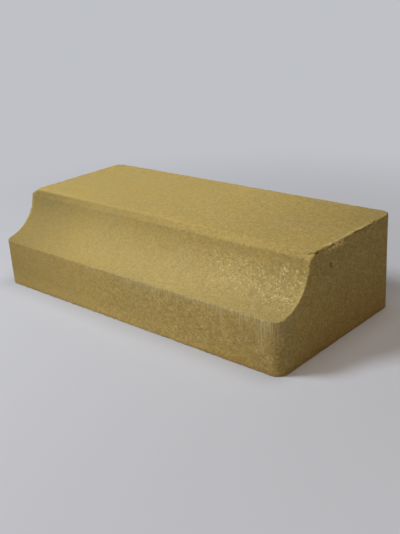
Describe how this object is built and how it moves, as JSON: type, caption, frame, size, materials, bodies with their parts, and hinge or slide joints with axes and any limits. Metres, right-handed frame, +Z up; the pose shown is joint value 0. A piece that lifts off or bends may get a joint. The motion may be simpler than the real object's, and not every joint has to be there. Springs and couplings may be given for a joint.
{
  "type": "shaped facing brick",
  "caption": "Solid yellow facing brick with a quarter-round cove moulded along one long top edge, for sills, cornices, plinths and surrounds.",
  "frame": {"origin": "middle of the underside", "axes": "+X along the length, -Y out of the shaped face with the cove, +Z up from the bed the brick lies on"},
  "size_m": [0.25, 0.12, 0.0635],
  "materials": {
    "pressed_brick": "matt, fine-grained, coloured all through"
  },
  "bodies": {
    "root": {"facing_brick": "pressed_brick"}
  },
  "joints": []
}
